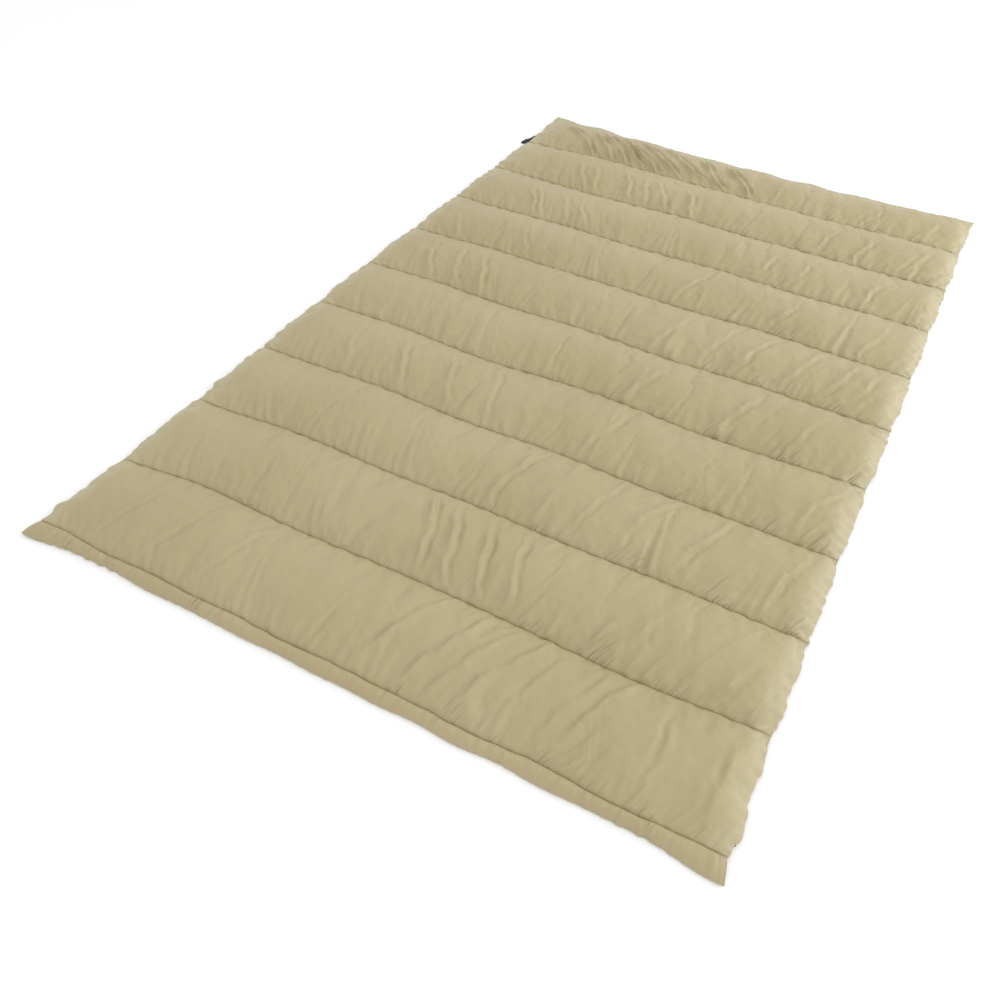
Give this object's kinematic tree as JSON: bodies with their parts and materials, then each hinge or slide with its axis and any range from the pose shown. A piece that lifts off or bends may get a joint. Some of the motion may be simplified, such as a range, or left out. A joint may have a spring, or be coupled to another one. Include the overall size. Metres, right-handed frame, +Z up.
{
  "type": "camp quilt",
  "caption": "Flat camping quilt of sewn wadded channels with a drawn hem, side zip halves and a zip slider with a cord pull; folds up at its seams.",
  "frame": {"origin": "middle of the quilt's outline, on the ground", "axes": "+X across to the quilt's right side seen from the hem, +Y along the quilt from the drawn hem to the far end, +Z up"},
  "size_m": [1.2152, 2, 0.042],
  "materials": {
    "shell_cloth": "fine khaki polyester taffeta with a soft sheen",
    "lining_cloth": "brushed khaki polyester",
    "wadding": "white hollow-fibre wadding",
    "thread": "twisted polyester thread",
    "elastic": "braided elastic cord",
    "zip_tape": "woven zip tape",
    "zip_coil": "nylon coil",
    "black_metal": "satin black enamel on die-cast zinc",
    "black_plastic": "matt moulded plastic",
    "pull_cord": "braided black cord"
  },
  "bodies": {
    "panel_1": {"shell_1": "shell_cloth", "lining_1": "lining_cloth", "wadding_1": "wadding", "wadding_2": "wadding", "seam_1": "thread", "seam_2": "thread", "zip_tape_left_1": "zip_tape", "zip_tape_right_1": "zip_tape", "zip_coil_left_1": "zip_coil", "zip_coil_right_1": "zip_coil", "zip_top_stop_left": "black_metal", "zip_top_stop_right": "black_metal"},
    "panel_2": {"shell_2": "shell_cloth", "lining_2": "lining_cloth", "wadding_3": "wadding", "wadding_4": "wadding", "seam_3": "thread", "seam_4": "thread", "zip_tape_left_2": "zip_tape", "zip_tape_right_2": "zip_tape", "zip_coil_left_2": "zip_coil", "zip_coil_right_2": "zip_coil"},
    "panel_3": {"shell_3": "shell_cloth", "lining_3": "lining_cloth", "wadding_5": "wadding", "wadding_6": "wadding", "seam_5": "thread", "seam_6": "thread", "zip_tape_left_3": "zip_tape", "zip_tape_right_3": "zip_tape", "zip_coil_left_3": "zip_coil", "zip_coil_right_3": "zip_coil"},
    "panel_4": {"shell_4": "shell_cloth", "lining_4": "lining_cloth", "wadding_7": "wadding", "wadding_8": "wadding", "seam_7": "thread", "seam_8": "thread", "zip_tape_left_4": "zip_tape", "zip_tape_right_4": "zip_tape", "zip_coil_left_4": "zip_coil", "zip_coil_right_4": "zip_coil"},
    "panel_5": {"shell_5": "shell_cloth", "lining_5": "lining_cloth", "wadding_9": "wadding", "wadding_10": "wadding", "seam_9": "thread", "zip_tape_left_5": "zip_tape", "zip_tape_right_5": "zip_tape", "zip_coil_left_5": "zip_coil", "zip_coil_right_5": "zip_coil", "hem_casing": "shell_cloth", "hem_stitching": "thread", "hem_elastic": "elastic", "zip_retainer_box": "black_plastic", "zip_insertion_pin": "black_plastic"},
    "zip_slider": {"zip_slider": "black_metal"},
    "zip_pull": {"zip_pull_loop": "pull_cord", "zip_pull_grip": "black_plastic"}
  },
  "joints": [
    {"name": "fold_1", "type": "hinge", "parent": "panel_1", "child": "panel_2", "pos_m": [0, 0.6068, 0.0435], "axis": [-1, 0, 0], "range_deg": [0, 176]},
    {"name": "fold_2", "type": "hinge", "parent": "panel_2", "child": "panel_3", "pos_m": [0, 0.2136, -0.0015], "axis": [-1, 0, 0], "range_deg": [-176, 0]},
    {"name": "fold_3", "type": "hinge", "parent": "panel_3", "child": "panel_4", "pos_m": [0, -0.1796, 0.0435], "axis": [-1, 0, 0], "range_deg": [0, 176]},
    {"name": "fold_4", "type": "hinge", "parent": "panel_4", "child": "panel_5", "pos_m": [0, -0.5728, -0.0015], "axis": [-1, 0, 0], "range_deg": [-176, 0]},
    {"name": "slider_travel", "type": "slide", "parent": "panel_1", "child": "zip_slider", "axis": [0, 1, 0], "range_m": [-0.173, 0.112]},
    {"name": "pull_swing", "type": "hinge", "parent": "zip_slider", "child": "zip_pull", "pos_m": [-0.598, 0.8505, 0.002], "axis": [0, 0, -1], "range_deg": [0, 115]}
  ],
  "couplings": [
    {"joint": "fold_2", "follows": "fold_1", "ratio": -1},
    {"joint": "fold_3", "follows": "fold_1", "ratio": 1},
    {"joint": "fold_4", "follows": "fold_1", "ratio": -1}
  ]
}
